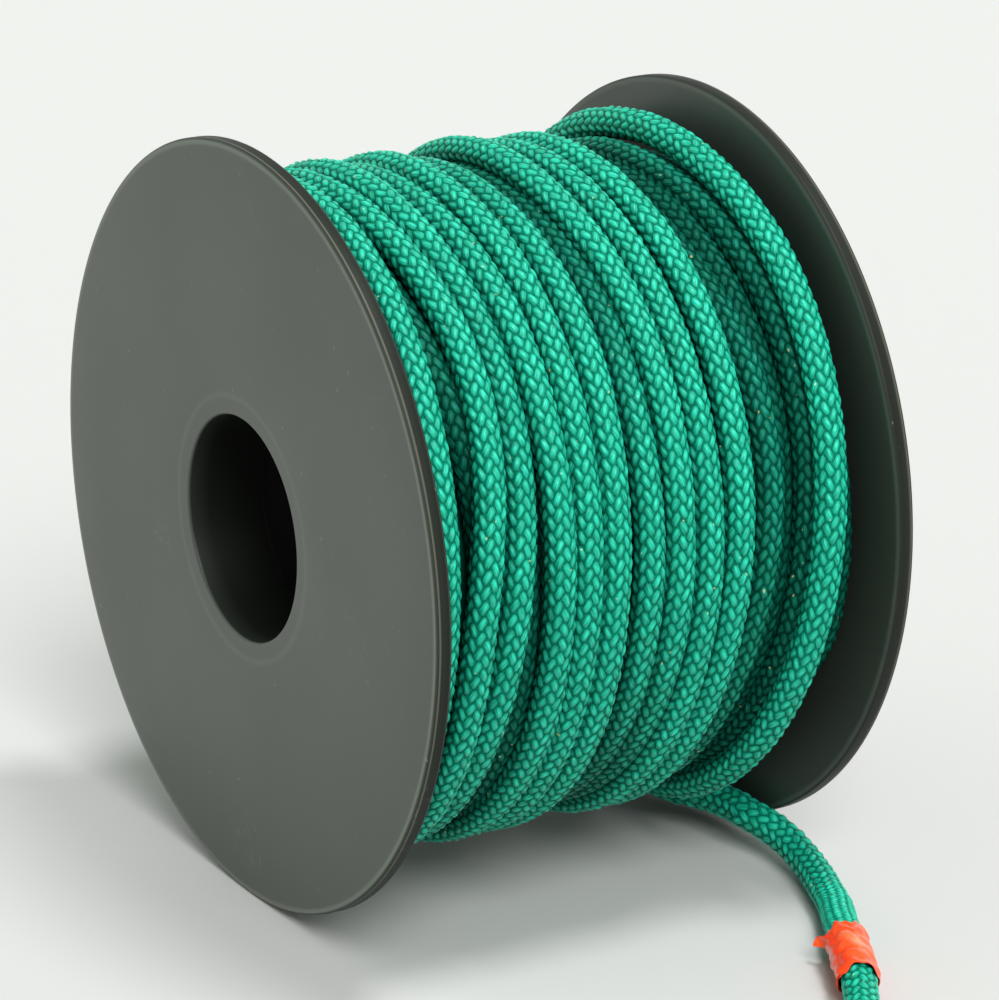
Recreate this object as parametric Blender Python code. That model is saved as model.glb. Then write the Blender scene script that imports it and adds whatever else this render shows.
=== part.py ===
"""A small cord spool: two flat flanges on a hollow barrel, full of braided green cord.

The spool's axis runs along X. It stands on its two flange rims on the plane z = 0, and
the origin is on that plane, midway between the flanges. -Y is the side that the cord's
loose end runs out to. All lengths are in metres.
"""

import math

import bmesh
import bpy
from mathutils import Vector

MM = 0.001
GAP = 0.3 * MM                  # clearance between solids that touch on the real object

# Spool
WIDTH = 47.0 * MM               # over both flanges
FLANGE_RADIUS = 34.0 * MM
FLANGE_THICKNESS = 1.5 * MM
EDGE_ROUND = 0.3 * MM
BORE_RADIUS = 10.0 * MM
COLLAR_WALL = 0.9 * MM          # the flange's collar plugs into the barrel
COLLAR_LENGTH = 6.0 * MM
BARREL_WALL = 1.0 * MM

# Cord
CORD_RADIUS = 1.5 * MM
START_TAPE_THICKNESS = 0.3 * MM
START_TAPE_WIDTH = 12.0 * MM
START_TAPE_ANGLE = math.radians(150)
WINDING_RADIUS = 30.3 * MM      # the outermost full layer of turns
LAST_TURN_RADIUS = 31.9 * MM    # the last turn rides on top of that layer
LAST_TURN_SPAN = (15.2 * MM, 19.9 * MM)

# Tape band near the cord's loose end, measured along the tail from its start
BAND_SPAN = (24.6 * MM, 34.0 * MM)
BAND_THICKNESS = 0.2 * MM
CORE_RADIUS = 0.9 * MM
CORE_LENGTH = 0.8 * MM

FLANGE_SIDES = 96
BARREL_SIDES = 64
BAND_SIDES = 20
CORE_SIDES = 16
ROUND_STEPS = 3

AXIS_HEIGHT = FLANGE_RADIUS
INNER_FACE = WIDTH / 2 - FLANGE_THICKNESS
BARREL_INNER = BORE_RADIUS + COLLAR_WALL + GAP
BARREL_OUTER = BARREL_INNER + BARREL_WALL
START_TAPE_INNER = BARREL_OUTER + GAP
WINDING_INNER = START_TAPE_INNER + START_TAPE_THICKNESS + GAP

# The loose end: from beside the far flange, out under its rim and round towards -Y, in millimetres.
TAIL_ROUTE_MM = [
    (20.1, -14.6, 3.45), (20.6, -17.0, 3.10), (21.0, -19.2, 2.55), (20.9, -21.4, 2.10),
    (20.5, -23.8, 1.75), (19.7, -26.6, 1.55), (18.5, -29.7, 1.52), (17.2, -32.8, 1.60),
    (15.6, -35.6, 1.85), (14.0, -38.6, 2.12), (12.4, -41.7, 2.15), (10.9, -44.7, 2.12),
    (9.2, -47.8, 1.90), (7.4, -50.8, 1.65), (5.6, -53.8, 1.55),
]


def clear_scene():
    for obj in list(bpy.data.objects):
        bpy.data.objects.remove(obj, do_unlink=True)


def material(name, colour, roughness, metallic=0.0):
    made = bpy.data.materials.new(name)
    made.use_nodes = True
    shader = made.node_tree.nodes["Principled BSDF"]
    shader.inputs["Base Color"].default_value = (*colour, 1.0)
    shader.inputs["Roughness"].default_value = roughness
    shader.inputs["Metallic"].default_value = metallic
    return made


def add_object(name, bm, surface):
    """Turns a bmesh into a smooth-shaded object with sharp creases."""
    bmesh.ops.recalc_face_normals(bm, faces=bm.faces)
    mesh = bpy.data.meshes.new(name)
    bm.to_mesh(mesh)
    bm.free()
    mesh.shade_smooth()
    mesh.set_sharp_from_angle(angle=math.radians(35))
    mesh.materials.append(surface)
    obj = bpy.data.objects.new(name, mesh)
    bpy.context.scene.collection.objects.link(obj)
    return obj


def corner(x, radius, x_side, radius_side):
    """Points round a convex corner of a turned outline, whose centre is at (x, radius).

    x_side and radius_side are +1 or -1: the quarter of the circle that the corner fills,
    from its x side to its radius side.
    """
    points = []
    for step in range(ROUND_STEPS + 1):
        angle = math.pi / 2 * step / ROUND_STEPS
        points.append((x + x_side * EDGE_ROUND * math.cos(angle),
                       radius + radius_side * EDGE_ROUND * math.sin(angle)))
    return points


def turned(name, outline, sides, surface):
    """A closed outline of (x, radius) points turned a full circle round the spool's axis."""
    bm = bmesh.new()
    ring = [bm.verts.new((x, 0.0, AXIS_HEIGHT + radius)) for x, radius in outline]
    edges = [bm.edges.new((a, b)) for a, b in zip(ring, ring[1:] + ring[:1])]
    bmesh.ops.spin(bm, geom=ring + edges, cent=(0, 0, AXIS_HEIGHT), axis=(1, 0, 0),
                   angle=2 * math.pi, steps=sides, use_merge=True, use_duplicate=False)
    return add_object(name, bm, surface)


def flange_outline(side):
    """Disc with rounded rim and bore edges, and the collar on its inner face."""
    outer = WIDTH / 2
    mid_outer, mid_inner = outer - EDGE_ROUND, INNER_FACE + EDGE_ROUND
    rim = FLANGE_RADIUS - EDGE_ROUND
    collar_end = INNER_FACE - COLLAR_LENGTH
    outline = corner(mid_outer, rim, 1, 1)
    outline += corner(mid_inner, rim, -1, 1)[::-1]
    outline += [(INNER_FACE, BORE_RADIUS + COLLAR_WALL), (collar_end, BORE_RADIUS + COLLAR_WALL)]
    outline += [(collar_end, BORE_RADIUS)]
    outline += corner(mid_outer, BORE_RADIUS + EDGE_ROUND, 1, -1)[::-1]
    return [(side * x, radius) for x, radius in outline]


def barrel_outline():
    end = INNER_FACE - GAP
    return [(-end, BARREL_OUTER), (end, BARREL_OUTER), (end, BARREL_INNER), (-end, BARREL_INNER)]


def winding_outline():
    """Outer shape of all the turns, a little fuller towards the far flange."""
    end = INNER_FACE - GAP
    shoulder = end - CORD_RADIUS / 2
    low = WINDING_RADIUS - CORD_RADIUS / 2
    return [
        (-end, WINDING_INNER), (-end, low), (-shoulder, WINDING_RADIUS),
        (LAST_TURN_SPAN[0] - CORD_RADIUS, WINDING_RADIUS), (LAST_TURN_SPAN[0], LAST_TURN_RADIUS),
        (LAST_TURN_SPAN[1], LAST_TURN_RADIUS), (end - GAP, low), (end, low - CORD_RADIUS),
        (end, WINDING_INNER),
    ]


def start_tape(surface):
    """Thin strip round part of the barrel, which holds the cord's inner end down."""
    inner, outer = START_TAPE_INNER, START_TAPE_INNER + START_TAPE_THICKNESS
    left = -INNER_FACE + 2 * GAP
    right = left + START_TAPE_WIDTH
    bm = bmesh.new()
    section = [bm.verts.new((x, 0.0, AXIS_HEIGHT + radius))
               for x, radius in ((left, inner), (right, inner), (right, outer), (left, outer))]
    face = bm.faces.new(section)
    steps = round(START_TAPE_ANGLE / (2 * math.pi) * BARREL_SIDES)
    bmesh.ops.spin(bm, geom=[face], cent=(0, 0, AXIS_HEIGHT), axis=(1, 0, 0),
                   angle=START_TAPE_ANGLE, steps=steps, use_duplicate=False)
    return add_object("start_tape", bm, surface)


def smooth_route(points, per_span=12):
    """Catmull-Rom curve through the points, as closely spaced positions."""
    ends = [points[0] * 2 - points[1]] + points + [points[-1] * 2 - points[-2]]
    route = []
    for before, start, end, after in zip(ends, ends[1:], ends[2:], ends[3:]):
        for step in range(per_span):
            t = step / per_span
            route.append(0.5 * (2 * start + (end - before) * t
                                + (2 * before - 5 * start + 4 * end - after) * t * t
                                + (3 * start - before - 3 * end + after) * t * t * t))
    return route + [points[-1]]


def route_length(route):
    return sum((b - a).length for a, b in zip(route, route[1:]))


def along(route, distance):
    """Position and direction at a distance along the route, which is extended past its end."""
    for a, b in zip(route, route[1:]):
        step = (b - a).length
        if distance <= step:
            return a + (b - a) * (distance / step), (b - a).normalized()
        distance -= step
    direction = (route[-1] - route[-2]).normalized()
    return route[-1] + direction * distance, direction


def cord_tail(route, surface):
    """The loose stretch of cord, a round tube with closed ends."""
    spans = round(route_length(route) / (4 * CORD_RADIUS))
    length = route_length(route)
    curve = bpy.data.curves.new("cord_tail", "CURVE")
    curve.dimensions = "3D"
    curve.bevel_depth = CORD_RADIUS
    curve.bevel_resolution = 2
    curve.use_fill_caps = True
    spline = curve.splines.new("POLY")
    spline.points.add(spans)
    for index, point in enumerate(spline.points):
        position, _ = along(route, length * index / spans)
        point.co = (*position, 1.0)
    spline.use_smooth = True
    curve.materials.append(surface)
    obj = bpy.data.objects.new("cord_tail", curve)
    bpy.context.scene.collection.objects.link(obj)
    return obj


def ring_on(bm, centre, direction, radius, sides):
    across = direction.cross(Vector((0, 0, 1))).normalized()
    upward = across.cross(direction)
    ring = []
    for index in range(sides):
        angle = 2 * math.pi * index / sides
        ring.append(bm.verts.new(centre + radius * (across * math.cos(angle) + upward * math.sin(angle))))
    return ring


def bridge(bm, first, second):
    for index in range(len(first)):
        after = (index + 1) % len(first)
        bm.faces.new((first[index], first[after], second[after], second[index]))


def tape_band(route, surface):
    """Sleeve of tape wrapped once round the cord near its loose end."""
    inner = CORD_RADIUS + GAP
    stations = 6
    bm = bmesh.new()
    inside, outside = [], []
    for index in range(stations):
        distance = BAND_SPAN[0] + (BAND_SPAN[1] - BAND_SPAN[0]) * index / (stations - 1)
        centre, direction = along(route, distance)
        inside.append(ring_on(bm, centre, direction, inner, BAND_SIDES))
        outside.append(ring_on(bm, centre, direction, inner + BAND_THICKNESS, BAND_SIDES))
    for rings in (inside, outside):
        for first, second in zip(rings, rings[1:]):
            bridge(bm, first, second)
    bridge(bm, inside[0], outside[0])
    bridge(bm, inside[-1], outside[-1])
    return add_object("end_tape", bm, surface)


def cord_core(route, surface):
    """The white core yarns, which show at the cut end of the braided sheath."""
    bm = bmesh.new()
    length = route_length(route)
    rings = [ring_on(bm, *along(route, length + GAP + reach), CORE_RADIUS, CORE_SIDES)
             for reach in (0.0, CORE_LENGTH)]
    bridge(bm, *rings)
    for ring in rings:
        bm.faces.new(ring)
    return add_object("cord_core", bm, surface)


def main():
    clear_scene()
    plastic = material("black_plastic", (0.035, 0.036, 0.034), 0.42)
    inner_plastic = material("barrel_plastic", (0.025, 0.025, 0.025), 0.5)
    braid = material("green_braid", (0.010, 0.340, 0.215), 0.6)
    red_tape = material("red_tape", (0.85, 0.09, 0.03), 0.35)
    paper_tape = material("paper_tape", (0.75, 0.70, 0.55), 0.8)
    core = material("white_core", (0.88, 0.90, 0.88), 0.8)

    turned("near_flange", flange_outline(-1), FLANGE_SIDES, plastic)
    turned("far_flange", flange_outline(1), FLANGE_SIDES, plastic)
    turned("barrel", barrel_outline(), BARREL_SIDES, inner_plastic)
    turned("cord_winding", winding_outline(), FLANGE_SIDES, braid)
    start_tape(paper_tape)

    route = smooth_route([Vector(point) * MM for point in TAIL_ROUTE_MM])
    cord_tail(route, braid)
    tape_band(route, red_tape)
    cord_core(route, core)


main()
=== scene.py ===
"""Looks of a small cord spool: black plastic flanges on a barrel, full of braided green cord.

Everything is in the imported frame's coordinates, in metres: the spool's axis runs along X at the
height of the flange radius, the rims stand on z = 0, and the cord's loose end runs towards -Y.
"""

import functools
import math

import bmesh
import bpy
import numpy as np
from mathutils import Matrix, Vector


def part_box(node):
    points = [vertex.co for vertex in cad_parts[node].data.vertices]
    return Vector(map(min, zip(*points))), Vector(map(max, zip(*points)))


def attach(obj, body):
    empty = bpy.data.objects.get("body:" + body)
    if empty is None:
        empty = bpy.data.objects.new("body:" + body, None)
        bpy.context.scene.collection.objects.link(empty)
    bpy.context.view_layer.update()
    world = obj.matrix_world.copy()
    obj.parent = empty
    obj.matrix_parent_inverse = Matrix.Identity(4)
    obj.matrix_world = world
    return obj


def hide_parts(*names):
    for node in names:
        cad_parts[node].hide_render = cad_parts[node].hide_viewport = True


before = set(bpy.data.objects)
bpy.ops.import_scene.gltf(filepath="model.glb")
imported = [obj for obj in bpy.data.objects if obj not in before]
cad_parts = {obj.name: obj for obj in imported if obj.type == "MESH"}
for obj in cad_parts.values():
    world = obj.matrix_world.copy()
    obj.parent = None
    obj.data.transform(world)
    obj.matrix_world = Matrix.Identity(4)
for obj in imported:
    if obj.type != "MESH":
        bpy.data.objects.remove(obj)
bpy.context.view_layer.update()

MM = 0.001
RNG = np.random.default_rng(7)

# Spool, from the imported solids
FLANGE_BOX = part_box("far_flange")
RIM_RADIUS = (FLANGE_BOX[1].z - FLANGE_BOX[0].z) / 2
AXIS_HEIGHT = RIM_RADIUS
OUTER_FACE = FLANGE_BOX[1].x
FLANGE_THICKNESS = 1.5 * MM
INNER_FACE = OUTER_FACE - FLANGE_THICKNESS
BORE_RADIUS = 10.0 * MM
COLLAR_RADIUS = 10.9 * MM
COLLAR_LENGTH = 6.0 * MM
EDGE_ROUND = 0.3 * MM
FLANGE_SIDES = 240
BARREL_SIDES = 160
BARREL_WALL = 1.0 * MM

# Cord
WOUND_DIAMETER = 2.85 * MM      # pulled thin by the winding tension
FREE_DIAMETER = 3.0 * MM
FIRST_LAYER_RADIUS = 14.25 * MM
OUTER_LAYER_RADIUS = 28.85 * MM
HIDDEN_LAYERS = 5               # under the two layers that show
INNER_TURNS = 14.3              # turns in each hidden layer
END_X = 20.4 * MM               # centre of a turn that touches a flange
STRANDS_EACH_WAY = 12           # of the 24 strands of the braid
BRAID_LAY = 5.3                 # length of one full turn of a strand, in cord diameters
FLOAT_ROUND = (2.3, 1.6, -1.1)  # a float's pillow: falls across it, along it and towards its sharp corners
FLOAT_FULL = 0.50               # how full the pillow is, and how steep its borders are
FLOAT_BORDER = 0.24

# Camera
CAMERA_AZIMUTH = math.radians(-30.702)
CAMERA_ELEVATION = math.radians(18.4536)
CAMERA_DISTANCE = 0.40926
CAMERA_TARGET = Vector((0.002544, 0.0, 0.032209))
CAMERA_LENS = 165.18


# ---------------------------------------------------------------- camera

def make_camera():
    """Long lens at the near flange's side, a little above the spool."""
    back = Vector((math.sin(CAMERA_AZIMUTH) * math.cos(CAMERA_ELEVATION),
                   -math.cos(CAMERA_AZIMUTH) * math.cos(CAMERA_ELEVATION),
                   math.sin(CAMERA_ELEVATION)))
    data = bpy.data.cameras.new("camera")
    data.sensor_fit = "HORIZONTAL"
    data.sensor_width = 36.0
    data.lens = CAMERA_LENS
    data.clip_start = 0.01
    data.clip_end = 20.0
    camera = bpy.data.objects.new("camera", data)
    camera.location = CAMERA_TARGET + back * CAMERA_DISTANCE
    camera.rotation_mode = "QUATERNION"
    camera.rotation_quaternion = (-back).to_track_quat("-Z", "Y")
    bpy.context.scene.collection.objects.link(camera)
    bpy.context.scene.camera = camera


make_camera()


# ---------------------------------------------------------------- the cord's route

# The outermost layer, from the near flange to the far one, one row for each turn: the turn's x at
# the angles below, and how far its centre lies from the layer's radius there. Angles are from the
# front (-Y) upwards. All in millimetres.
FRONT_ANGLES = (-40, -20, 0, 20, 40, 60, 80)
LEVEL = (0.0,) * 7
OUTER_TURNS = [
    ((-20.4, -20.3, -19.9, -19.3, -18.6, -18.0, -17.6), LEVEL),
    ((-16.9, -17.0, -16.7, -14.4, -13.3, -14.2, -14.9), (0.0, 0.0, 0.0, 0.1, 0.4, 0.1, 0.0)),
    ((-14.4, -14.1, -13.1, -11.4, -10.6, -11.2, -12.1), (-0.6, -0.1, 0.0, -0.2, -0.7, -0.1, 0.5)),
    ((-9.1, -9.0, -8.9, -8.5, -8.05, -8.15, -8.8), (0.0, 0.0, 0.0, 0.0, 0.0, -0.1, -0.5)),
    ((-6.5, -6.5, -6.3, -5.7, -5.2, -5.2, -5.9), (0.0, 0.0, 0.0, 0.0, 0.0, 0.1, 0.4)),
    ((-3.9, -3.9, -3.6, -2.8, -2.2, -2.2, -2.8), (0.0, 0.0, 0.0, 0.0, 0.0, -0.1, -0.5)),
    ((0.1, -0.5, 0.0, 0.4, 1.0, 1.2, 0.8), (-1.4, -0.1, 0.0, -0.1, -0.9, -1.4, -1.6)),
    ((2.5, 2.4, 2.75, 3.3, 3.5, 3.2, 2.1), (-1.3, -0.1, 0.0, 0.0, 0.0, 0.2, 0.7)),
    ((4.6, 5.3, 5.8, 6.3, 6.4, 6.2, 6.0), LEVEL),
    ((7.5, 8.1, 8.7, 9.4, 9.6, 9.4, 8.9), (0.1, 0.1, 0.1, 0.1, 0.1, 0.2, 0.4)),
    ((10.6, 10.9, 12.5, 13.6, 13.1, 11.9, 11.6), (-1.2, -1.0, -1.2, -1.2, -1.4, -2.2, -2.4)),
    ((15.8, 16.2, 16.8, 17.7, 17.9, 17.5, 15.8), (-1.3,) * 7),
    ((15.2, 16.1, 17.05, 17.9, 18.6, 18.5, 18.0), (1.2, 1.5, 1.55, 1.55, 1.55, 1.5, 1.3)),
]
# The layer under it, from the far flange to the near one, in the same form. It shows in the gaps.
SECOND_RADIUS = 26.4 * MM
SECOND_PITCH = 2.9              # between its even turns, in millimetres
SECOND_EVEN_FROM = 6.4          # x of the first even turn
SECOND_TURNS = [
    ((20.4, 20.4, 20.4, 20.3, 20.2, 20.0, 19.4), (0.5, 0.5, 0.4, 0.2, 0.0, 0.0, 0.0)),
    ((13.6, 13.8, 14.6, 15.6, 15.4, 14.8, 14.4), (-0.3, -0.3, -0.5, -0.5, -0.2, 0.0, 0.0)),
    ((9.0, 9.0, 9.8, 10.8, 10.4, 9.2, 9.0), (-0.4, -0.4, -0.2, 0.0, -0.2, -0.3, -0.3)),
    *[(tuple(SECOND_EVEN_FROM - SECOND_PITCH * (turn + (angle - FRONT_ANGLES[0]) / 360)
             for angle in FRONT_ANGLES), LEVEL)
      for turn in range(6)],
    ((-11.1, -11.0, -10.9, -10.9, -11.0, -11.6, -12.2), (0.6, 0.9, 0.0, 0.0, 0.0, 0.0, 0.0)),
    ((-15.2, -15.0, -14.6, -14.6, -15.9, -16.3, -16.2), (0.0, 0.0, 0.0, 0.2, 1.4, 0.6, 0.0)),
    ((-18.2, -18.4, -18.8, -19.2, -19.4, -19.8, -20.4), (0.0, 0.0, 0.0, 0.0, 0.2, 0.6, 1.0)),
]
# From under the winding to the loose end, in millimetres. It lies on the floor from its middle on.
LEAVING_ROUTE_MM = [
    (16.6, 2.0, 3.65), (16.9, -1.0, 3.6), (17.6, -5.0, 3.5), (18.6, -7.2, 3.5), (19.6, -9.8, 3.5),
    (20.1, -12.8, 3.5),
]
TAIL_ROUTE_MM = [
    (20.1, -14.6, 3.45), (20.6, -17.0, 3.10), (21.0, -19.2, 2.55), (20.9, -21.4, 2.10),
    (20.5, -23.8, 1.75), (19.7, -26.6, 1.55), (18.5, -29.7, 1.52), (17.2, -32.8, 1.60),
    (15.6, -35.6, 1.85), (14.0, -38.6, 2.12), (12.4, -41.7, 2.15), (10.9, -44.7, 2.12),
    (9.2, -47.8, 1.90), (7.4, -50.8, 1.65), (5.6, -53.8, 1.55),
]
STEP = math.radians(2)          # between two points of a wound turn
PER_SPAN = 24                   # points between two of the listed places
TURN_EASE = 12                  # half the width of each running mean, in points
SIDEWAYS_EASE = 8
HEIGHT_EASE = 14
SIDEWAYS_STRAY = (0.12 * MM, 0.9)       # how far a turn strays, and after how many radians anew
HEIGHT_STRAY = (0.10 * MM, 0.7)
LEAVING_ANGLE = math.radians(14)        # how far before its lowest point the last turn is left
LEAD_IN = 12                    # points of the last turn that give the loose stretch its direction


def catmull_rom(points, per_span):
    """Smooth curve through the points."""
    points = np.asarray(points, float)
    ends = np.vstack([2 * points[0] - points[1], points, 2 * points[-1] - points[-2]])
    t = np.arange(per_span)[:, None] / per_span
    spans = []
    for before, start, end, after in zip(ends, ends[1:], ends[2:], ends[3:]):
        spans.append(0.5 * (2 * start + (end - before) * t
                            + (2 * before - 5 * start + 4 * end - after) * t ** 2
                            + (3 * start - before - 3 * end + after) * t ** 3))
    return np.vstack(spans + [points[-1:]])


def smoothed(values, half_width):
    """Running mean with a bell-shaped window, its ends held."""
    window = np.hanning(2 * half_width + 3)[1:-1]
    padded = np.pad(values, half_width, mode="edge")
    return np.convolve(padded, window / window.sum(), mode="valid")


def wander(angles, size, period):
    """Slow, smooth, random drift along the cord."""
    knots = np.arange(angles[0] - period, angles[-1] + 2 * period, period)
    return smoothed(np.interp(angles, knots, RNG.uniform(-size, size, len(knots))), TURN_EASE)


def shown_layer(turns, first_angle, radius):
    """Angle, x and radius along a layer whose turns are given at the front angles."""
    knots, places, heights = [], [], []
    for turn, (xs, offsets) in enumerate(turns):
        for angle, x, offset in zip(FRONT_ANGLES, xs, offsets):
            knots.append(2 * math.pi * turn + math.radians(angle))
            places.append(x * MM)
            heights.append(radius + offset * MM)
    angles = np.arange(knots[0], 2 * math.pi * len(turns) + math.radians(FRONT_ANGLES[0]), STEP)
    x = smoothed(np.interp(angles, knots, places), TURN_EASE)
    r = smoothed(np.interp(angles, knots, heights), TURN_EASE)
    return first_angle + angles - knots[0], x, r


def hidden_layers(until):
    """Angle, x and radius along each even layer on the barrel, to and fro between the flanges."""
    rising = (SECOND_RADIUS - FIRST_LAYER_RADIUS) / HIDDEN_LAYERS
    first = until - 2 * math.pi * INNER_TURNS * HIDDEN_LAYERS
    layers = []
    for layer in range(HIDDEN_LAYERS):
        angles = np.arange(0, 2 * math.pi * INNER_TURNS, STEP)
        share = angles / (2 * math.pi * INNER_TURNS)
        side = -1 if layer % 2 == 0 else 1
        x = side * END_X * (1 - 2 * share)
        r = np.full(len(angles), FIRST_LAYER_RADIUS + rising * layer)
        layers.append((first + angles, x, r))
        first += 2 * math.pi * INNER_TURNS
    return layers


def wound_route():
    """Angle, x and radius of every point of the winding, and the angle where its second layer starts."""
    outer_start = math.radians(FRONT_ANGLES[0])
    second_start = outer_start - 2 * math.pi * len(SECOND_TURNS)
    layers = [*hidden_layers(second_start), shown_layer(SECOND_TURNS, second_start, SECOND_RADIUS),
              shown_layer(OUTER_TURNS, outer_start, OUTER_LAYER_RADIUS)]
    angles, x, r = (np.concatenate(parts) for parts in zip(*layers))
    even = np.arange(angles[0], angles[-1], STEP)
    x = smoothed(np.interp(even, angles, x), SIDEWAYS_EASE) + wander(even, *SIDEWAYS_STRAY)
    r = smoothed(np.interp(even, angles, r), HEIGHT_EASE) + wander(even, *HEIGHT_STRAY)
    return even, np.clip(x, -END_X, END_X), r, second_start


def full_route():
    """Centreline, outward direction and arc length, and the arc length at each of its landmarks."""
    angles, x, r, second_start = wound_route()
    leaving = 2 * math.pi * (len(OUTER_TURNS) - 1) + 1.5 * math.pi - LEAVING_ANGLE
    keep = angles < leaving
    angles, x, r = angles[keep], x[keep], r[keep]
    outward = np.stack([np.zeros_like(angles), -np.cos(angles), np.sin(angles)], 1)
    wound = outward * r[:, None]
    wound[:, 0] = x
    wound[:, 2] += AXIS_HEIGHT
    last_turn = [wound[-LEAD_IN] / MM, wound[-1] / MM]
    loose = catmull_rom(np.array(last_turn + LEAVING_ROUTE_MM + TAIL_ROUTE_MM) * MM, PER_SPAN)
    loose = loose[PER_SPAN + 1:]
    points = np.vstack([wound, loose])
    side = np.vstack([outward, np.tile((0.0, 0.0, -1.0), (len(loose), 1))])
    length = np.concatenate([[0], np.cumsum(np.linalg.norm(np.diff(points, axis=0), axis=1))])
    marks = {
        "second": length[np.searchsorted(angles, second_start)],
        "outer": length[np.searchsorted(angles, math.radians(FRONT_ANGLES[0]))],
        "loose": length[len(wound)],
        "tail": length[len(wound) - 1 + PER_SPAN * (len(LEAVING_ROUTE_MM) + 1)],
        "end": length[-1],
    }
    return points, side, length, marks


class Route:
    """The cord's centreline, read at any arc length."""

    def __init__(self):
        self.points, self.side, self.length, self.marks = full_route()

    def at(self, s):
        """Centre, outward and sideways directions at arc lengths s."""
        def read(values):
            return np.stack([np.interp(s, self.length, values[:, axis]) for axis in range(3)], 1)
        centre = read(self.points)
        tangent = read(np.gradient(self.points, self.length, axis=0))
        tangent /= np.linalg.norm(tangent, axis=1)[:, None]
        outward = read(self.side)
        outward -= tangent * (outward * tangent).sum(1)[:, None]
        outward /= np.linalg.norm(outward, axis=1)[:, None]
        return centre, outward, np.cross(tangent, outward)


# ---------------------------------------------------------------- the cord's mesh

THINNING = (-30 * MM, 10 * MM)  # it swells from wound to free thickness about where it leaves the winding
HIDDEN_SIDES = 8
HIDDEN_RING_GAP = 4.0 * MM
LAYER_LAP = 20 * MM             # how far a finer shell starts before the mark of its layer
SHELL_LAP = 1 * MM              # how far one shell reaches into the next
SECOND_FINENESS = 2             # mesh steps to a strand
OUTER_FINENESS = 3

BAND_SPAN = (27.1 * MM, 35.4 * MM)      # the red band, along the tail from where it leaves the spool
BUNCHED = 0.42                  # spacing of the braid where it is pushed up against the red band
BUNCHED_LENGTH = 13 * MM
BUNCHED_FADE = (0.4 * BUNCHED_LENGTH, 3 * MM)   # how fast the bunching comes on, and ends under the band
LAY_READINGS = 20000            # places where the braid's spacing is read, along one shell

BULGE = 0.15 * MM               # how far a strand stands out where it lies on top
SUNK = 0.09 * MM                # how far the surface between the strands lies inside the cord's radius
SIDE_SQUEEZE = 0.985            # wound turns press on their neighbours
TWIST_LENGTH = 0.41             # cord that turns once about its own line
TWIST_SWAYS = ((0.6, 0.037), (0.05, 0.0031))    # angle and length scale of the twist's unevenness

FLOAT_REPEAT = 4                # crossings after which a strand's pattern repeats
LUCK_FLOATS = 61                # floats of one strand before their random numbers repeat
FLOAT_LUCK = RNG.random((2 * STRANDS_EACH_WAY, LUCK_FLOATS))    # makes each float a little different
LUCK_LEAST = 0.7                # share of the bulge in the flattest floats, and what the fullest add to it
LUCK_SPREAD = 0.6
LUCK_SCALE = 100                # what the luck is multiplied by in the float_place attribute
FLAT_PLACE = (0.5, 1.0, 0.0)    # the middle of a float, for faces that belong to none


class MeshParts:
    """Vertices, faces and face-corner values collected from several shells."""

    def __init__(self):
        self.points, self.corners, self.sizes, self.places = [], [], [], []
        self.count = 0

    def add(self, points, faces, places):
        """faces and places hold one array for each kind of polygon."""
        self.points.append(points)
        for polygon, place in zip(faces, places):
            self.corners.append((polygon + self.count).ravel())
            self.sizes.append(np.full(len(polygon), polygon.shape[1]))
            self.places.append(place.reshape(-1, 3))
        self.count += len(points)

    def build(self, name):
        points = np.concatenate(self.points)
        corners = np.concatenate(self.corners)
        sizes = np.concatenate(self.sizes)
        starts = np.concatenate([[0], np.cumsum(sizes)[:-1]])
        mesh = bpy.data.meshes.new(name)
        mesh.vertices.add(len(points))
        mesh.vertices.foreach_set("co", points.astype(np.float32).ravel())
        mesh.loops.add(len(corners))
        mesh.loops.foreach_set("vertex_index", corners.astype(np.int32))
        mesh.polygons.add(len(sizes))
        mesh.polygons.foreach_set("loop_start", starts.astype(np.int32))
        mesh.polygons.foreach_set("use_smooth", np.ones(len(sizes), bool))
        place = mesh.attributes.new("float_place", "FLOAT_VECTOR", "CORNER")
        place.data.foreach_set("vector", np.concatenate(self.places).astype(np.float32).ravel())
        mesh.update(calc_edges=True)
        obj = bpy.data.objects.new(name, mesh)
        bpy.context.scene.collection.objects.link(obj)
        return obj


def cord_radius(s, route):
    """Half the cord's diameter: thinner where it is wound under tension."""
    return np.interp(s, [route.marks["loose"] + shift for shift in THINNING],
                     [WOUND_DIAMETER / 2, FREE_DIAMETER / 2])


def plain_shell(parts, route, start, end):
    """A smooth tube with few sides, for the turns that can't be seen."""
    s = np.arange(start, end, HIDDEN_RING_GAP)
    centre, outward, sideways = route.at(s)
    radius = cord_radius(s, route)[:, None, None]
    angle = 2 * np.pi * np.arange(HIDDEN_SIDES) / HIDDEN_SIDES
    points = centre[:, None] + radius * (np.cos(angle)[None, :, None] * outward[:, None]
                                         + np.sin(angle)[None, :, None] * sideways[:, None])
    index = np.arange(len(s) * HIDDEN_SIDES).reshape(len(s), HIDDEN_SIDES)
    turned_index = np.roll(index, -1, axis=1)
    walls = np.stack([index[:-1], turned_index[:-1], turned_index[1:], index[1:]], -1).reshape(-1, 4)
    caps = np.stack([index[0][::-1], index[-1]])
    parts.add(points.reshape(-1, 3), [walls, caps],
              [np.tile(FLAT_PLACE, (faces.size, 1)) for faces in (walls, caps)])


def float_height(across, along):
    """Height of a strand's visible float: across it from 0 to 1, along it from 0 to 2."""
    x, y = across - 0.5, along - 1.0
    fall = FLOAT_ROUND[0] * x * x + FLOAT_ROUND[1] * y * y + FLOAT_ROUND[2] * x * y
    border = np.sin(np.pi * across) * np.sin(np.pi / 2 * np.clip(along, 0, 2))
    return np.clip(1 - fall, 0, 1) ** FLOAT_FULL * border ** FLOAT_BORDER


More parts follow.
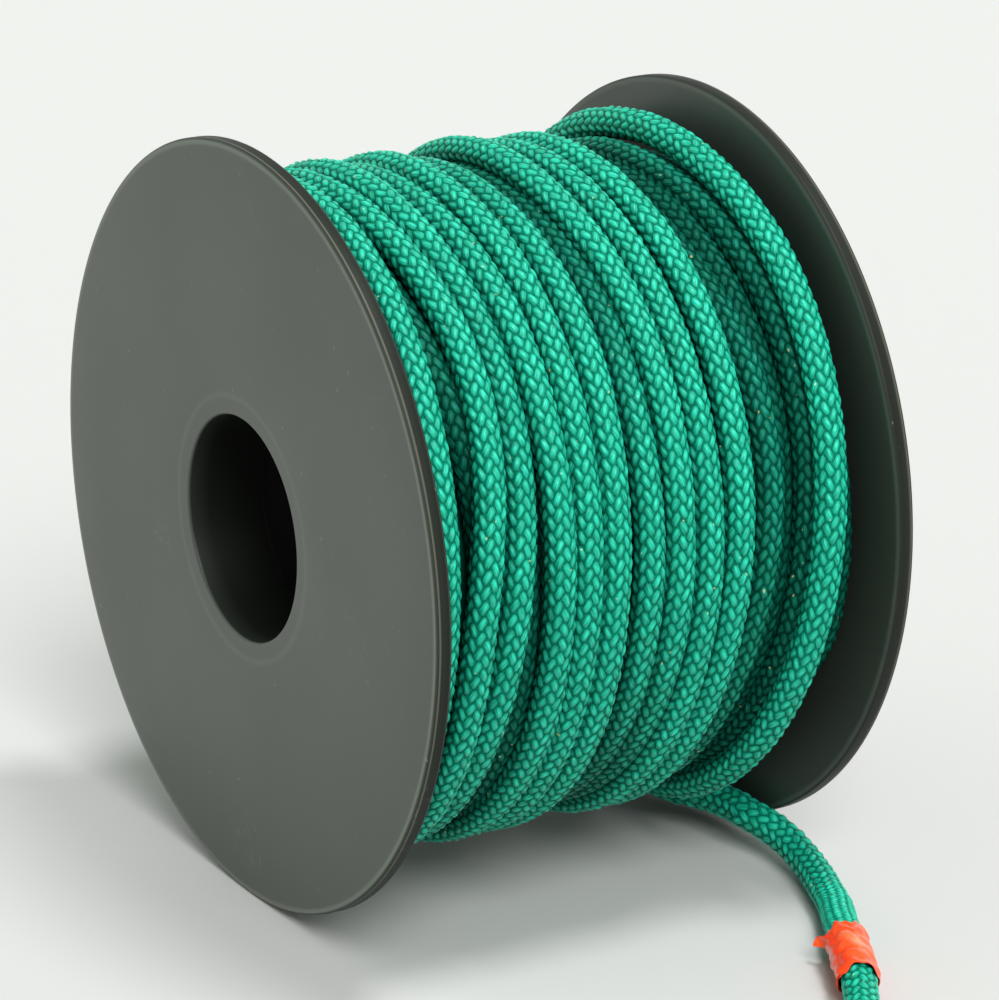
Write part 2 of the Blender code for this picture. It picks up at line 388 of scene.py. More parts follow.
def bunching(s, route):
    """How close the braid is pushed up, as a share of its free lay: it is bunched above the red band."""
    from_band = s - route.marks["tail"] - BAND_SPAN[0]
    above = np.clip((from_band + BUNCHED_LENGTH) / BUNCHED_FADE[0], 0, 1)
    below = np.clip((BAND_SPAN[1] - BAND_SPAN[0] - from_band) / BUNCHED_FADE[1], 0, 1)
    return 1 - (1 - BUNCHED) * above * below


def ring_places(route, start, end, columns):
    """Arc length of each ring of vertices, one ring for each half step of a strand."""
    along_cord = np.linspace(start, end, LAY_READINGS)
    spacing = BRAID_LAY * WOUND_DIAMETER / (2 * columns) * bunching(along_cord, route)
    rings_before = np.concatenate([[0], np.cumsum(np.diff(along_cord) / spacing[1:])])
    return np.interp(np.arange(int(rings_before[-1])), rings_before, along_cord)


def float_luck(hand, strand, along):
    """The random number of the float that is at this place along a strand of the first or second hand."""
    number = (along // FLOAT_REPEAT).astype(int) % LUCK_FLOATS
    return FLOAT_LUCK[strand % STRANDS_EACH_WAY + hand * STRANDS_EACH_WAY, number]


def braid_relief(a, b, fineness):
    """Height of the braid where a and b steps have been counted across it, and both hands' luck there."""
    u, v = a / fineness, b / fineness
    row, column = a // fineness, b // fineness
    u_along, v_along = v + row, u + column - 2
    u_luck, v_luck = float_luck(0, row, u_along), float_luck(1, column, v_along)
    u_height = float_height(u % 1, u_along % FLOAT_REPEAT) * (LUCK_LEAST + LUCK_SPREAD * u_luck)
    v_height = float_height(v % 1, v_along % FLOAT_REPEAT) * (LUCK_LEAST + LUCK_SPREAD * v_luck)
    return np.maximum(u_height, v_height), u_luck, v_luck


def float_places(a, b, fineness, u_luck, v_luck):
    """Each face corner's place on its float: across it, along it, and a number of the float's own."""
    corner_steps = np.array([(0, 0), (1, 0), (1, 1), (0, 1)])
    row, column = (a // fineness)[..., None], (b // fineness)[..., None]
    u = (a[..., None] + corner_steps[:, 0]) / fineness
    v = (b[..., None] + corner_steps[:, 1]) / fineness
    u_on_top = (row + column) % FLOAT_REPEAT < 2
    across = np.where(u_on_top, u - row, v - column)
    start = np.where(u_on_top, (row + column) // FLOAT_REPEAT * FLOAT_REPEAT - row,
                     (row + column - 2) // FLOAT_REPEAT * FLOAT_REPEAT + 2 - column)
    along = np.where(u_on_top, v, u) - start
    luck = np.where(u_on_top[..., 0], u_luck, v_luck)
    return np.stack([across, along, np.repeat(LUCK_SCALE * luck[..., None], 4, -1)], -1)


def twist_at(s):
    """How far the braid has turned about the cord's own line, in radians."""
    return 2 * np.pi * s / TWIST_LENGTH + sum(size * np.sin(s / scale) for size, scale in TWIST_SWAYS)


def braid_points(route, s, around, raised):
    """The vertices of rings at arc lengths s, at the given angles and heights."""
    centre, outward, sideways = route.at(s)
    radius = (cord_radius(s, route) - SUNK)[:, None] + BULGE * raised
    squeeze = np.where(s < route.marks["loose"], SIDE_SQUEEZE, 1.0)[:, None]
    angle = around + twist_at(s)[:, None]
    return (centre[:, None] + (radius * np.cos(angle))[..., None] * outward[:, None]
            + (radius * squeeze * np.sin(angle))[..., None] * sideways[:, None])


def braid_faces(rings, columns):
    """Diamonds between each ring's two neighbours, and the two zigzag rims as end faces."""
    index = np.arange(rings * columns).reshape(rings, columns)
    turned_index = np.roll(index, -1, axis=1)
    even = (np.arange(1, rings - 1) % 2 == 0)[:, None]
    below = np.where(even, index[:-2], turned_index[:-2])
    above = np.where(even, index[2:], turned_index[2:])
    walls = np.stack([index[1:-1], below, turned_index[1:-1], above], -1).reshape(-1, 4)

    def zigzag(first, second):
        """Rim through two neighbouring rings, the first of them an even one."""
        return np.stack([index[first], index[second]], 1).ravel()
    last_two = (rings - 1, rings - 2) if rings % 2 == 1 else (rings - 2, rings - 1)
    return walls, zigzag(0, 1)[::-1][None], zigzag(*last_two)[None]


def braided_shell(parts, route, start, end, fineness):
    """The braid as strands that cross two over, two under.

    a and b count the steps of each hand's strands across the surface, fineness steps to a strand,
    so that face edges follow the strands' own edges.
    """
    columns = STRANDS_EACH_WAY * fineness
    s = ring_places(route, start, end, columns)
    ring = np.arange(len(s))[:, None]
    both = 2 * np.arange(columns)[None, :] + ring % 2
    a, b = (both - ring) // 2, (both + ring) // 2
    raised, u_luck, v_luck = braid_relief(a, b, fineness)
    points = braid_points(route, s, np.pi * both / columns, raised)
    walls, first_cap, last_cap = braid_faces(len(s), columns)
    place = float_places(a[1:-1], b[1:-1], fineness, u_luck[1:-1], v_luck[1:-1])
    flat = np.tile(FLAT_PLACE, (2 * columns, 1))
    parts.add(points.reshape(-1, 3), [walls, first_cap, last_cap], [place, flat, flat])


def make_cord(route):
    """The whole cord: plain where it is hidden, braided where it shows, finer on the outside."""
    parts = MeshParts()
    second, outer = (route.marks[name] - LAYER_LAP for name in ("second", "outer"))
    plain_shell(parts, route, 0.0, second)
    braided_shell(parts, route, second - SHELL_LAP, outer - SHELL_LAP, SECOND_FINENESS)
    braided_shell(parts, route, outer - 2 * SHELL_LAP, route.marks["end"], OUTER_FINENESS)
    return parts.build("braided_cord")


# ---------------------------------------------------------------- material helpers

BLACK = (0.0, 0.0, 0.0)
WHITE = (1.0, 1.0, 1.0)


def grey(level):
    return (level, level, level)


def add_node(tree, kind, inputs=None, **settings):
    """A new node. Inputs are sockets to link from or values to set."""
    made = tree.nodes.new(kind)
    for key, value in settings.items():
        setattr(made, key, value)
    for key, value in (inputs or {}).items():
        if isinstance(value, bpy.types.NodeSocket):
            tree.links.new(value, made.inputs[key])
        else:
            made.inputs[key].default_value = value
    return made


def new_material(name, roughness, specular=0.5):
    """The material, its node tree and its shader."""
    made = bpy.data.materials.new(name)
    made.use_nodes = True
    shader = made.node_tree.nodes["Principled BSDF"]
    shader.inputs["Roughness"].default_value = roughness
    shader.inputs["Specular IOR Level"].default_value = specular
    return made, made.node_tree, shader


def maths(tree, operation, first, second=0.0):
    return add_node(tree, "ShaderNodeMath", {0: first, 1: second}, operation=operation).outputs[0]


def product(tree, *factors):
    """The product of single values."""
    return functools.reduce(lambda first, second: maths(tree, "MULTIPLY", first, second), factors)


def total(tree, *terms):
    """The sum of single values."""
    return functools.reduce(lambda first, second: maths(tree, "ADD", first, second), terms)


def mixed(tree, how, first, second):
    """Two colours, blended in full."""
    made = add_node(tree, "ShaderNodeMix", data_type="RGBA", blend_type=how)
    made.inputs[0].default_value = 1.0
    tree.links.new(first, made.inputs[6])
    tree.links.new(second, made.inputs[7])
    return made.outputs[2]


def multiplied(tree, *colours):
    return functools.reduce(lambda first, second: mixed(tree, "MULTIPLY", first, second), colours)


def added(tree, *colours):
    return functools.reduce(lambda first, second: mixed(tree, "ADD", first, second), colours)


def ramp(tree, value, stops):
    """Colour by a value from 0 to 1, through the given positions and colours."""
    made = add_node(tree, "ShaderNodeValToRGB", {"Fac": value})
    points = made.color_ramp.elements
    while len(points) < len(stops):
        points.new(0.5)
    for point, (position, colour) in zip(points, stops):
        point.position = position
        point.color = (*colour, 1.0)
    return made.outputs["Color"]


def object_place(tree):
    return add_node(tree, "ShaderNodeTexCoord").outputs["Object"]


def object_noise(tree, scale, detail=3.0, stretch=(1, 1, 1)):
    """Noise fixed to the piece. The scale is in features per millimetre."""
    mapped = add_node(tree, "ShaderNodeMapping", {"Vector": object_place(tree), "Scale": stretch})
    return add_node(tree, "ShaderNodeTexNoise", {"Vector": mapped.outputs["Vector"], "Scale": scale / MM,
                                                 "Detail": detail}).outputs["Fac"]


def axle_distance(tree, nearest, farthest):
    """How far a point is from the spool's axis, from 0 at the nearest radius to 1 at the farthest."""
    parts = add_node(tree, "ShaderNodeSeparateXYZ", {"Vector": object_place(tree)})
    up = maths(tree, "SUBTRACT", parts.outputs["Z"], AXIS_HEIGHT)
    squares = total(tree, product(tree, up, up), product(tree, parts.outputs["Y"], parts.outputs["Y"]))
    span = {"Value": maths(tree, "SQRT", squares), "From Min": nearest, "From Max": farthest}
    return add_node(tree, "ShaderNodeMapRange", span).outputs["Result"]


def finish_with(tree, shader, height, distance, strength):
    """Bump from a height, at the end of a material."""
    bump = add_node(tree, "ShaderNodeBump",
                    {"Height": height, "Distance": distance, "Strength": strength})
    tree.links.new(bump.outputs["Normal"], shader.inputs["Normal"])


# ---------------------------------------------------------------- braid

# Colour of the yarn from a float's borders to its crown: painted shade darkens the borders where the
# strands dip under, and a painted highlight lightens the crown.
YARN_COLOURS_WITH_PAINTED_LIGHT = [(0.0, (0.002, 0.18, 0.108)), (0.12, (0.003, 0.27, 0.168)),
                (0.50, (0.007, 0.41, 0.260)), (1.0, (0.020, 0.62, 0.425))]
# Painted shade: the winding is darker towards the axis between these two radii, so that its gaps and deeper
# turns look shaded; it dims the shine there too.
PAINTED_GAP_SHADE_RADII = (27.0 * MM, 30.6 * MM)
PAINTED_GAP_SHADE_STOPS = [(0.0, (0.15, 0.17, 0.17)), (0.40, (0.23, 0.25, 0.25)), (0.62, (0.46, 0.48, 0.48)),
              (0.78, (0.84, 0.85, 0.85)), (0.9, WHITE)]
# Fibre streaks, darker where the fibre relief is low: painted shade between the filaments.
FIBRE_SHADES = [(0.38, (0.40, 0.54, 0.52)), (0.58, WHITE)]
FIBRE_STRETCH = (6.0, 0.9, 1.0)
FLOAT_SHINE = [(0.15, grey(0.08)), (0.75, grey(0.60))]
LINT = [(0.84, BLACK), (0.87, (0.30, 0.24, 0.10))]
YARN_SHEEN = (0.45, 1.0, 0.94, 1.0)
DULLEST_FLOAT = 0.72
FIBRE_RELIEF = 0.9              # of the fibres, as a share of the float's own
BRAID_BUMP = 0.085 * MM


def float_pillow(tree, across, along):
    """The same height as float_height, as a node value."""
    x = maths(tree, "SUBTRACT", across, 0.5)
    y = maths(tree, "SUBTRACT", along, 1.0)
    fall = total(tree, product(tree, x, x, FLOAT_ROUND[0]), product(tree, y, y, FLOAT_ROUND[1]),
                 product(tree, x, y, FLOAT_ROUND[2]))
    full = maths(tree, "MAXIMUM", maths(tree, "SUBTRACT", 1.0, fall), 0.0)
    border = product(tree, maths(tree, "SINE", product(tree, across, math.pi)),
                     maths(tree, "SINE", product(tree, along, math.pi / 2)))
    return product(tree, maths(tree, "POWER", full, FLOAT_FULL),
                   maths(tree, "POWER", maths(tree, "MAXIMUM", border, 0.0), FLOAT_BORDER))


def braid_material():
    """Glossy filament yarn: each float is a pillow with fine streaks along it, painted shade at its borders
    and a painted highlight on its crown, and the winding has painted shade in its gaps.
    """
    made, tree, shader = new_material("braided_yarn", 0.34, 0.5)
    place = add_node(tree, "ShaderNodeAttribute", attribute_name="float_place").outputs["Vector"]
    parts = add_node(tree, "ShaderNodeSeparateXYZ", {"Vector": place})
    pillow = float_pillow(tree, parts.outputs["X"], parts.outputs["Y"])
    fibres = add_node(tree, "ShaderNodeMapping", {"Vector": place, "Scale": FIBRE_STRETCH})
    noise = add_node(tree, "ShaderNodeTexNoise",
                     {"Vector": fibres.outputs["Vector"], "Scale": 1.0, "Detail": 3.0}).outputs["Fac"]
    luck = add_node(tree, "ShaderNodeMapRange", {"Value": parts.outputs["Z"], "From Max": LUCK_SCALE,
                                                 "To Min": DULLEST_FLOAT, "To Max": 1.0})
    # The yarn's colour, with painted shade at the float borders and a painted highlight on the crowns.
    yarn = ramp(tree, product(tree, pillow, luck.outputs["Result"]), YARN_COLOURS_WITH_PAINTED_LIGHT)
    # Painted shade in the winding's gaps and deeper turns.
    painted_gap_shade = ramp(tree, axle_distance(tree, *PAINTED_GAP_SHADE_RADII), PAINTED_GAP_SHADE_STOPS)
    lint = ramp(tree, object_noise(tree, 2.2, 0.0), LINT)
    colour = added(tree, multiplied(tree, yarn, ramp(tree, noise, FIBRE_SHADES), painted_gap_shade), lint)
    tree.links.new(colour, shader.inputs["Base Color"])
    shine = multiplied(tree, ramp(tree, pillow, FLOAT_SHINE), painted_gap_shade)
    tree.links.new(shine, shader.inputs["Specular IOR Level"])
    matt = add_node(tree, "ShaderNodeMapRange", {"Value": pillow, "To Min": 0.70, "To Max": 0.31})
    tree.links.new(matt.outputs["Result"], shader.inputs["Roughness"])
    height = total(tree, pillow, product(tree, noise, FIBRE_RELIEF))
    finish_with(tree, shader, height, BRAID_BUMP, 1.0)
    shader.inputs["Specular Tint"].default_value = YARN_SHEEN
    return made


# ---------------------------------------------------------------- black plastic

# How light the plastic is, by its distance from the axis as a share of the rim's radius: painted shade
# inside the bore and on the rim's outer side, painted highlights on the bore's edge, on the ring round it
# and on the rim's rounded edge, and the plastic's own tone between.
TONE_AND_PAINTED_LIGHT_ALONG_RADIUS = [
    (0.0, 0.12), (0.2950, 0.12), (0.2975, 1.2), (0.306, 1.0), (0.334, 1.0), (0.345, 1.45), (0.357, 1.0),
    (0.980, 1.0), (0.986, 2.2), (0.993, 2.2), (0.997, 0.35), (1.0, 0.35),
]
GLOSS_ALONG_RADIUS = [(0.295, grey(0.10)), (0.298, grey(0.70)), (0.993, grey(0.70)), (0.997, grey(0.12))]
INNER_PAINTED_SHADE = 0.35              # painted shade of the faces that look at the winding, which lie in its shade
INNER_PAINTED_SHADE_X = 21.4 * MM       # where the plastic has that painted shade, and from where on it has its full colour
PAINTED_SHADE_END_X = 23.3 * MM
# Handling marks, and painted highlight lines round the rim: the scale, detail and stretch of their noise,
# and its stops from clear plastic to a mark.
PAINTED_RIM_GLINTS = ((3.0, 2.0, (1.0, 0.0, 0.0)), [(0.54, BLACK), (0.64, (0.075, 0.07, 0.055))])
SCUFFED = ((0.11, 2.0), [(0.60, BLACK), (0.70, WHITE)])
SCRATCHES = ((0.45, 3.0), [(0.490, BLACK), (0.500, (0.05, 0.05, 0.049)), (0.510, BLACK)])
SPECKS = ((1.6, 0.0), [(0.87, BLACK), (0.89, (0.06, 0.06, 0.055))])
ON_RIM = [(0.994, BLACK), (0.998, WHITE)]
SMUDGE = 0.04                   # how far smudges change the roughness either way
PLASTIC_GRAIN = 0.004 * MM


def inner_painted_shade(tree):
    """Painted shade: a factor that darkens the faces that look at the winding, which lie in its shade."""
    parts = add_node(tree, "ShaderNodeSeparateXYZ", {"Vector": object_place(tree)})
    from_middle = maths(tree, "ABSOLUTE", parts.outputs["X"])
    return add_node(tree, "ShaderNodeMapRange",
                    {"Value": from_middle, "From Min": INNER_PAINTED_SHADE_X, "From Max": PAINTED_SHADE_END_X,
                     "To Min": INNER_PAINTED_SHADE, "To Max": 1.0}).outputs["Result"]


def handling_marks_and_rim_glints(tree, along_radius):
    """Painted highlight lines round the rim, patches of fine scratches, and a few specks."""
    painted_rim_glints, scuffed, scratches, specks = (
        ramp(tree, object_noise(tree, *noise), stops)
        for noise, stops in (PAINTED_RIM_GLINTS, SCUFFED, SCRATCHES, SPECKS))
    # Keeps the painted highlight lines to the rim's outer side.
    on_rim = ramp(tree, along_radius, ON_RIM)
    return added(tree, multiplied(tree, painted_rim_glints, on_rim), multiplied(tree, scratches, scuffed), specks)


def plastic_material(name, colour, roughness):
    """Moulded black plastic with faint handling marks, painted highlight lines round the rim, painted light
    and shade along the radius, and painted shade on the faces that look at the winding.
    """
    made, tree, shader = new_material(name, roughness, 0.7)
    along_radius = axle_distance(tree, 0.0, RIM_RADIUS)
    # Painted shade and painted highlights along the radius, on the plastic's own colour.
    shades = [(position, tuple(level * part for part in colour)) for position, level in TONE_AND_PAINTED_LIGHT_ALONG_RADIUS]
    shade = multiplied(tree, ramp(tree, along_radius, shades), inner_painted_shade(tree))
    tree.links.new(added(tree, shade, handling_marks_and_rim_glints(tree, along_radius)), shader.inputs["Base Color"])
    gloss = ramp(tree, along_radius, GLOSS_ALONG_RADIUS)
    tree.links.new(gloss, shader.inputs["Specular IOR Level"])
    smudges = add_node(tree, "ShaderNodeMapRange",
                       {"Value": object_noise(tree, 0.05, 4.0), "From Min": 0.3, "From Max": 0.7,
                        "To Min": roughness - SMUDGE, "To Max": roughness + SMUDGE})
    tree.links.new(smudges.outputs["Result"], shader.inputs["Roughness"])
    finish_with(tree, shader, object_noise(tree, 4.0, 2.0), PLASTIC_GRAIN, 0.5)
    return made


# ---------------------------------------------------------------- other materials

def tape_material():
    """Glossy red film, paler in peach streaks here and there."""
    made, tree, shader = new_material("red_film", 0.22, 0.6)
    colour = ramp(tree, object_noise(tree, 0.35, 3.0, (1.0, 0.35, 1.6)),
                  [(0.40, (0.92, 0.055, 0.012)), (0.58, (1.0, 0.10, 0.025)), (0.72, (0.90, 0.28, 0.14))])
    tree.links.new(colour, shader.inputs["Base Color"])
    wrinkle = object_noise(tree, 0.9, 3.0, (1.0, 0.5, 1.0))
    finish_with(tree, shader, wrinkle, 0.15 * MM, 0.6)
    return made


def paper_material():
    """Buff paper with fine crepe ridges."""
    made, tree, shader = new_material("creped_paper", 0.85, 0.3)
    crepe = object_noise(tree, 1.2, 3.0, (0.4, 2.0, 2.0))
    colour = ramp(tree, crepe, [(0.3, (0.60, 0.52, 0.34)), (0.7, (0.74, 0.68, 0.50))])
    tree.links.new(colour, shader.inputs["Base Color"])
    finish_with(tree, shader, crepe, 0.06 * MM, 0.6)
    return made


def core_material():
    """Plain white yarn."""
    made, tree, shader = new_material("white_yarn", 0.7, 0.3)
    strands = object_noise(tree, 6.0, 2.0, (1.0, 0.3, 1.0))
    colour = ramp(tree, strands, [(0.3, (0.70, 0.74, 0.72)), (0.7, (0.88, 0.90, 0.88))])
    tree.links.new(colour, shader.inputs["Base Color"])
    return made


# ---------------------------------------------------------------- spool pieces

def smooth_object(name, points, faces, sharp_from=35):
    """Object from points and faces, shaded smooth but for edges sharper than the angle, in degrees."""
    mesh = bpy.data.meshes.new(name)
    mesh.from_pydata([tuple(point) for point in points], [], faces)
    bm = bmesh.new()
    bm.from_mesh(mesh)
    bmesh.ops.recalc_face_normals(bm, faces=bm.faces)
    bm.to_mesh(mesh)
    bm.free()
    mesh.shade_smooth()
    mesh.set_sharp_from_angle(angle=math.radians(sharp_from))
    obj = bpy.data.objects.new(name, mesh)
    bpy.context.scene.collection.objects.link(obj)
    return obj


def turned(name, profile, sides):
    """A closed outline of (x, radius) points turned round the spool's axis."""
    count = len(profile)
    angle = 2 * np.pi * np.arange(sides) / sides
    x, r = np.array(profile, float).T
    points = np.stack([np.tile(x, (sides, 1)), -np.outer(np.cos(angle), r),
                       AXIS_HEIGHT + np.outer(np.sin(angle), r)], -1).reshape(-1, 3)
    faces = []
    for side in range(sides):
        here, after = side * count, (side + 1) % sides * count
        for step in range(count):
            following = (step + 1) % count
            faces.append((here + step, here + following, after + following, after + step))
    return smooth_object(name, points, faces)


def arc(centre_x, centre_r, radius, start, end, steps=6):
    """Points on an arc of the outline, angles in degrees from +X towards larger radius."""
    angles = np.radians(np.linspace(start, end, steps + 1))
    return [(centre_x + radius * math.cos(a), centre_r + radius * math.sin(a)) for a in angles]


def make_flange(name, side):
    """Disc with rounded edges, a shallow ring round the bore, and the collar that plugs into the barrel."""
    rim, edge = RIM_RADIUS, EDGE_ROUND
    ring, ring_depth, ring_width = 1.16 * BORE_RADIUS, 0.05 * MM, 0.25 * MM
    fillet, chamfer, ease = 0.22 * MM, 0.3 * MM, 0.1 * MM
    face_radii = (16 * MM, 22 * MM, 28 * MM)
    collar_end = INNER_FACE - COLLAR_LENGTH
    outline = arc(OUTER_FACE - edge - ring_depth, BORE_RADIUS + edge, edge, 270, 360)
    outline += [(OUTER_FACE - ring_depth, ring - ring_width), (OUTER_FACE, ring + ring_width)]
    outline += [(OUTER_FACE, radius) for radius in face_radii]
    outline += arc(OUTER_FACE - edge, rim - edge, edge, 0, 90)
    outline += arc(INNER_FACE + edge, rim - edge, edge, 90, 180)
    outline += [(INNER_FACE, radius) for radius in reversed(face_radii)]
    outline += arc(INNER_FACE - fillet, COLLAR_RADIUS + fillet, fillet, 0, -90)
    outline += [(collar_end + chamfer, COLLAR_RADIUS), (collar_end, COLLAR_RADIUS - chamfer),
                (collar_end, BORE_RADIUS + ease), (collar_end + ease, BORE_RADIUS)]
    return turned(name, [(side * x, radius) for x, radius in outline], FLANGE_SIDES)


def make_barrel():
    """Tube between the flanges, with eased ends."""
    low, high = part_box("barrel")
    end, outer = high.x, (high.z - low.z) / 2
    inner, ease = outer - BARREL_WALL, 0.2 * MM
    outline = [(-end + ease, outer), (end - ease, outer), (end, outer - ease), (end, inner + ease),
               (end - ease, inner), (-end + ease, inner), (-end, inner + ease), (-end, outer - ease)]
    return turned("hub_tube", outline, BARREL_SIDES)


def slab_faces(rows, columns):
    """Faces of a closed thin slab: two grids of (rows + 1) x (columns + 1) points and the edges between."""
    width = columns + 1
    layer = (rows + 1) * width
    faces = []
    for i in range(rows):
        for j in range(columns):
            a = i * width + j
            faces.append((a, a + 1, a + width + 1, a + width))
            faces.append((layer + a, layer + a + width, layer + a + width + 1, layer + a + 1))
    rim = list(range(columns))
    rim += [i * width + columns for i in range(rows)]
    rim += [rows * width + j for j in range(columns, 0, -1)]
    rim += [i * width for i in range(rows, 0, -1)]
    for a, b in zip(rim, rim[1:] + rim[:1]):
        faces.append((a, b, layer + b, layer + a))
    return faces


def make_start_tape():
    """Paper tape that holds the cord's inner end on the barrel, its ends torn and lifting a little."""
    low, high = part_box("start_tape")
    inner, thickness = 12.52 * MM, 0.14 * MM
    first, wrap = math.radians(90), math.radians(150)
    across, around = 14, 60
    points = []
    for layer in range(2):
        for i in range(around + 1):
            share = i / around
            for j in range(across + 1):
                place = j / across
                torn = math.radians(2.5) * math.sin(9.0 * place + 2.0 * share) * (2 * share - 1)
                angle = first + wrap * share + torn
                lift = 0.08 * MM * (2 * abs(share - 0.5)) ** 6
                crease = 0.015 * MM * math.sin(14 * place + 23 * share)
                radius = inner + lift + crease + layer * thickness
                points.append((low.x + (high.x - low.x) * place, -radius * math.cos(angle),
                               AXIS_HEIGHT + radius * math.sin(angle)))
    return smooth_object("paper_tape_strip", points, slab_faces(around, across))


# ---------------------------------------------------------------- pieces on the cord

BAND_RADIUS = 1.76 * MM
BAND_FILM = 0.06 * MM
BAND_START = math.radians(-80)          # the outer lap ends on the cord's left side
BAND_WRAP = math.radians(360 + 40)
TEAR = 0.35 * MM                # depth of the torn edges
CORNER_LIFT = 1.0 * MM
CORNER_LENGTH = 0.13            # of the band's length
CORNER_FROM = 0.90              # share of the wrap where the corner starts to lift
LAP_FROM, LAP_RUN = 0.88, 0.03  # where the outer lap climbs onto the first one, and how fast
CORE_YARNS = 19
CORE_REACH = 0.9 * MM
CORE_YARN_RADIUS = 0.17 * MM


def make_end_tape(route):
    """Red film wound a little over once round the cord, wrinkled, with torn ends and a lifted corner."""
    around, lengthways = 120, 44
    first, last = (route.marks["tail"] + span for span in BAND_SPAN)
    share = np.linspace(0, 1, lengthways + 1)
    at_corner = np.clip(1 - share / CORNER_LENGTH, 0, 1)
    points = []
    for layer in range(2):
        for i in range(around + 1):
            lap = i / around
            angle = BAND_START - BAND_WRAP * (1 - lap)
            torn_start = TEAR * (math.sin(5.3 * angle) + 0.6 * math.sin(13.1 * angle + 1.0))
            torn_end = TEAR * (math.sin(3.1 * angle + 2.0) + 0.35 * math.sin(7.3 * angle))
            s = np.linspace(first + torn_start, last + torn_end, lengthways + 1)
            centre, outward, sideways = route.at(s)
            wrinkle = (0.05 * np.sin(7 * angle + 9 * share) + 0.04 * np.sin(16 * share - 3 * angle)
                       + 0.05 * np.sin(3 * angle + 31 * share)) * MM
            lifted = max(0.0, (lap - CORNER_FROM) / (1 - CORNER_FROM))
            climb = max(0.0, min(1.0, (lap - LAP_FROM) / LAP_RUN))
            radius = (BAND_RADIUS + wrinkle + CORNER_LIFT * lifted ** 1.5 * at_corner
                      + 1.5 * BAND_FILM * climb + layer * BAND_FILM)
            points.extend(centre + radius[:, None] * (math.cos(angle) * outward
                                                      + math.sin(angle) * sideways))
    return smooth_object("red_tape_band", points, slab_faces(around, lengthways), 60)


def make_core(route):
    """White yarns of the core, cut off and slightly spread at the cord's end."""
    sides, rings = 6, 4
    centre, outward, sideways = (values[0] for values in route.at(np.array([route.marks["end"]])))
    ahead = np.cross(outward, sideways)
    golden_angle = math.pi * (3 - math.sqrt(5))
    points, faces = [], []
    for yarn in range(CORE_YARNS):
        reach = CORE_REACH * math.sqrt((yarn + 0.5) / CORE_YARNS)
        turn = yarn * golden_angle
        length = (0.75 + 0.35 * RNG.random()) * MM
        for ring in range(rings):
            share = ring / (rings - 1)
            middle = centre + ahead * length * share + reach * (0.85 + 0.25 * share) * (
                math.cos(turn) * outward + math.sin(turn) * sideways)
            thick = CORE_YARN_RADIUS * (1 - 0.35 * share)
            for side in range(sides):
                angle = 2 * math.pi * side / sides
                points.append(middle + thick * (math.cos(angle) * outward + math.sin(angle) * sideways))
        base = yarn * rings * sides
        for ring in range(rings - 1):
            here = base + ring * sides
            for side in range(sides):
                after = (side + 1) % sides
                faces.append((here + side, here + after, here + sides + after, here + sides + side))
        faces.append(tuple(base + side for side in range(sides))[::-1])
        faces.append(tuple(base + (rings - 1) * sides + side for side in range(sides)))
    return smooth_object("core_yarns", points, faces, 60)


# ---------------------------------------------------------------- studio

PAPER_ALBEDO = (0.487, 0.487, 0.482, 1.0)
WORLD_COLOUR = (0.94, 1.0, 0.92, 1.0)
WORLD_STRENGTH = 0.55


def make_sweep():
    """Pale paper that lies flat under the spool and curves up behind it."""
    behind = Vector((-math.sin(CAMERA_AZIMUTH), math.cos(CAMERA_AZIMUTH), 0.0))
    aside = Vector((behind.y, -behind.x, 0.0))
    flat_from, flat_to, bend, wall, half_width = -1.5, 0.60, 0.25, 0.8, 1.5
    steps = 24
    outline = [(flat_from, 0.0), (flat_to, 0.0)]
    for step in range(1, steps + 1):
        angle = math.pi / 2 * step / steps
        outline.append((flat_to + bend * math.sin(angle), bend * (1 - math.cos(angle))))
    outline.append((flat_to + bend, wall))
    points = []
    for distance, height in outline:
        for side in (-half_width, half_width):
            points.append(behind * distance + aside * side + Vector((0, 0, height)))
    faces = [(2 * i, 2 * i + 1, 2 * i + 3, 2 * i + 2) for i in range(len(outline) - 1)]
    mesh = bpy.data.meshes.new("paper_sweep")
    mesh.from_pydata(points, [], faces)
    mesh.shade_smooth()
    sweep = bpy.data.objects.new("paper_sweep", mesh)
    bpy.context.scene.collection.objects.link(sweep)
    made, _, shader = new_material("white_paper", 0.6, 0.3)
    shader.inputs["Base Color"].default_value = PAPER_ALBEDO
    mesh.materials.append(made)


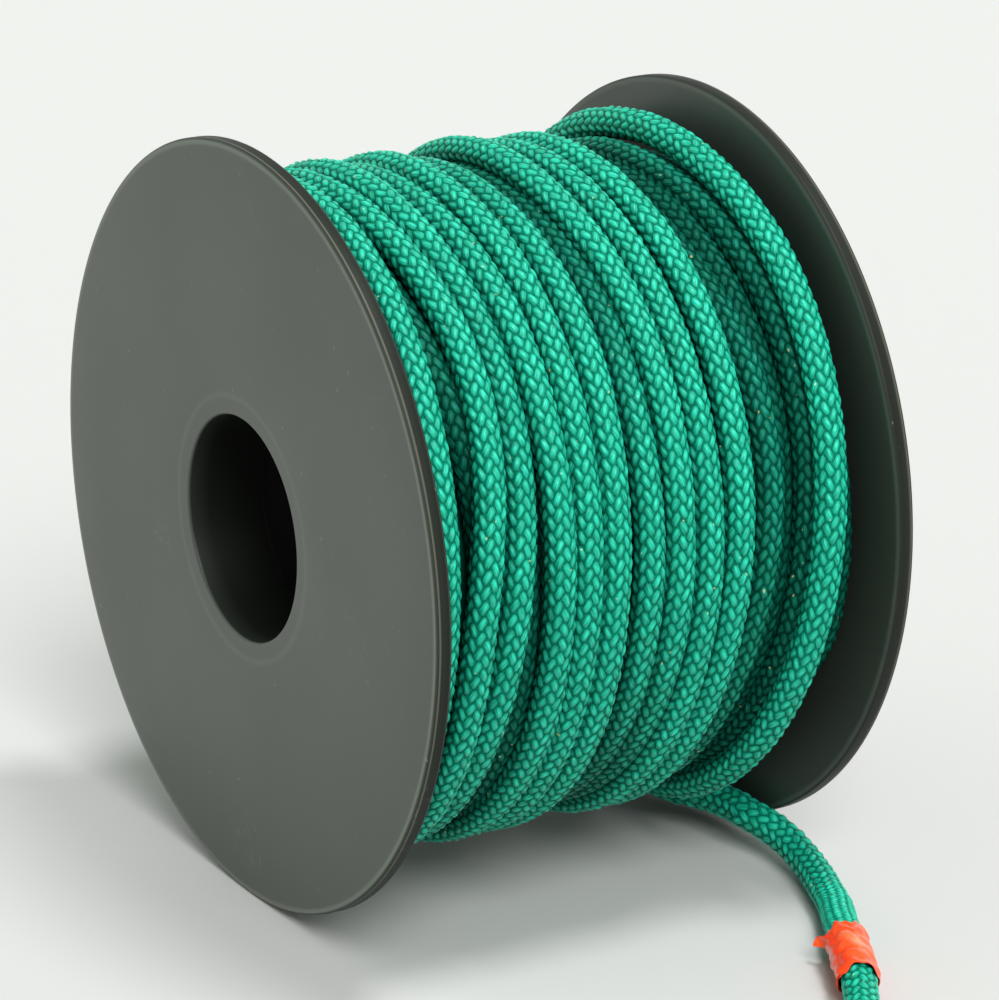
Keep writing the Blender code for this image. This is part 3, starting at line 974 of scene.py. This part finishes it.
def soft_sun(name, azimuth, elevation, power, softness):
    """Even light from the given side: azimuth from the front (-Y) towards +X, all angles in degrees."""
    data = bpy.data.lights.new(name, "SUN")
    data.energy = power
    data.angle = math.radians(softness)
    side, height = math.radians(azimuth), math.radians(elevation)
    towards = Vector((math.sin(side) * math.cos(height), -math.cos(side) * math.cos(height),
                      math.sin(height)))
    light = bpy.data.objects.new(name, data)
    light.rotation_mode = "QUATERNION"
    light.rotation_quaternion = (-towards).to_track_quat("-Z", "Y")
    bpy.context.scene.collection.objects.link(light)


def light_studio():
    """A bright even world, a high key light, a soft front light and a weak back light."""
    world = bpy.data.worlds.new("studio")
    world.use_nodes = True
    background = world.node_tree.nodes["Background"]
    background.inputs["Color"].default_value = WORLD_COLOUR
    background.inputs["Strength"].default_value = WORLD_STRENGTH
    bpy.context.scene.world = world
    soft_sun("key", 50, 74, 2.0, 16)
    soft_sun("front", -13, 42, 2.7, 30)
    soft_sun("back", -130, 38, 0.4, 50)
    bpy.context.scene.view_settings.view_transform = "Standard"


# ---------------------------------------------------------------- assembly

def place_piece(obj, surface, slot, *nodes):
    """The piece's material, its body and the CAD nodes that it stands for; slot is not used."""
    obj.data.materials.append(surface)
    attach(obj, "root")
    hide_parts(*nodes)
    return obj


def main():
    """Every piece on its body, then the floor and the light."""
    route = Route()
    cord = place_piece(make_cord(route), braid_material(), "cord_braid", "cord_winding", "cord_tail")
    tape = place_piece(make_end_tape(route), tape_material(), "red_tape", "end_tape")
    core = place_piece(make_core(route), core_material(), "core_yarn", "cord_core")

    black = plastic_material("black_plastic", (0.046, 0.057, 0.045), 0.46)
    place_piece(make_flange("near_flange_disc", -1), black, "spool_plastic", "near_flange")
    place_piece(make_flange("far_flange_disc", 1), black, "spool_plastic", "far_flange")
    place_piece(make_barrel(), plastic_material("barrel_plastic", grey(0.015), 0.45),
                "barrel_plastic", "barrel")
    place_piece(make_start_tape(), paper_material(), "paper_tape", "start_tape")

    make_sweep()
    light_studio()


main()
